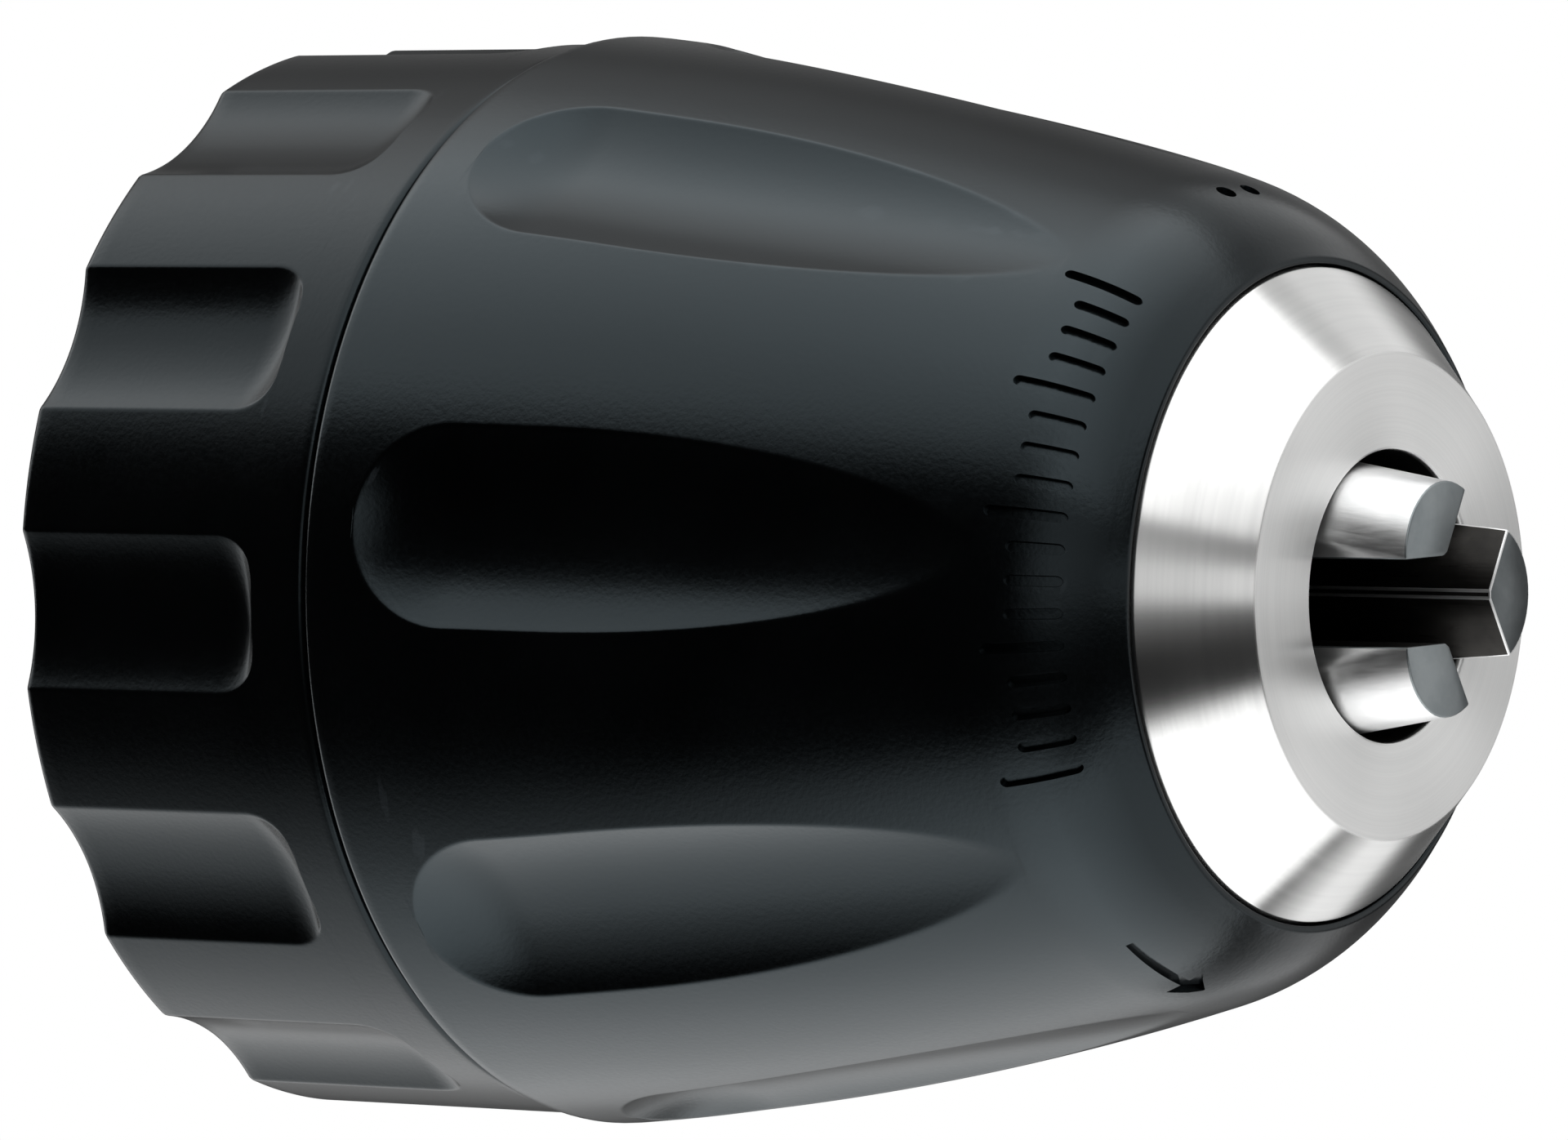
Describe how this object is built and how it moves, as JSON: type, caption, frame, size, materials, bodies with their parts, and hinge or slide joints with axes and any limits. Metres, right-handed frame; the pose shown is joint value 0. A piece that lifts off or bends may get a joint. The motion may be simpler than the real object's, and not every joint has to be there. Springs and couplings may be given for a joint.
{
  "type": "drill chuck",
  "caption": "Two-sleeve keyless drill chuck with a fluted black front sleeve, a grooved rear ring, a turned steel nose and self-centring jaws driven by the sleeve.",
  "frame": {"origin": "centre of the rear face, where the spindle enters", "axes": "+Z along the spindle axis toward the nose and the jaws; jaw_1 lies 4 degrees past +Y"},
  "size_m": [0.0424, 0.0424, 0.0524],
  "materials": {
    "turned_steel": "fine turned steel, satin, lightly oiled",
    "jaw_steel": "ground hardened steel",
    "nut_steel": "machined steel",
    "hardened_steel": "polished bearing steel",
    "spring_steel": "dark spring steel",
    "cage_brass": "stamped brass",
    "black_plastic": "fine grained black plastic with a soft sheen"
  },
  "bodies": {
    "body": {"chuck_body": "turned_steel", "rear_sleeve": "black_plastic", "race_washer_rear": "hardened_steel", "sleeve_snap_ring": "spring_steel"},
    "sleeve": {"front_sleeve": "black_plastic", "nut_band": "spring_steel", "nut_half_a": "nut_steel", "nut_half_b": "nut_steel", "race_washer_front": "hardened_steel"},
    "cage": {"ball_cage": "cage_brass", "bearing_ball_01": "hardened_steel", "bearing_ball_02": "hardened_steel", "bearing_ball_03": "hardened_steel", "bearing_ball_04": "hardened_steel", "bearing_ball_05": "hardened_steel", "bearing_ball_06": "hardened_steel", "bearing_ball_07": "hardened_steel", "bearing_ball_08": "hardened_steel", "bearing_ball_09": "hardened_steel", "bearing_ball_10": "hardened_steel", "bearing_ball_11": "hardened_steel", "bearing_ball_12": "hardened_steel", "bearing_ball_13": "hardened_steel", "bearing_ball_14": "hardened_steel", "bearing_ball_15": "hardened_steel"},
    "jaw_1": {"jaw_1": "jaw_steel"},
    "jaw_2": {"jaw_2": "jaw_steel"},
    "jaw_3": {"jaw_3": "jaw_steel"}
  },
  "joints": [
    {"name": "sleeve_turn", "type": "hinge", "parent": "body", "child": "sleeve", "pos_m": [0, 0, 0.03], "axis": [0, 0, 1], "range_deg": [-1900, 3700]},
    {"name": "cage_turn", "type": "hinge", "parent": "body", "child": "cage", "pos_m": [0, 0, 0.0245], "axis": [0, 0, 1], "range_deg": [-955, 1855]},
    {"name": "jaw_1_slide", "type": "slide", "parent": "body", "child": "jaw_1", "axis": [-0.0145, 0.2074, -0.9781], "range_m": [-0.0075, 0.0146]},
    {"name": "jaw_2_slide", "type": "slide", "parent": "body", "child": "jaw_2", "axis": [-0.1724, -0.1163, -0.9781], "range_m": [-0.0075, 0.0146]},
    {"name": "jaw_3_slide", "type": "slide", "parent": "body", "child": "jaw_3", "axis": [0.1869, -0.0911, -0.9781], "range_m": [-0.0075, 0.0146]}
  ],
  "couplings": [
    {"joint": "cage_turn", "follows": "sleeve_turn", "ratio": 0.5},
    {"joint": "jaw_1_slide", "follows": "sleeve_turn", "m_per_rad": 0.00022457},
    {"joint": "jaw_2_slide", "follows": "sleeve_turn", "m_per_rad": 0.00022457},
    {"joint": "jaw_3_slide", "follows": "sleeve_turn", "m_per_rad": 0.00022457}
  ]
}
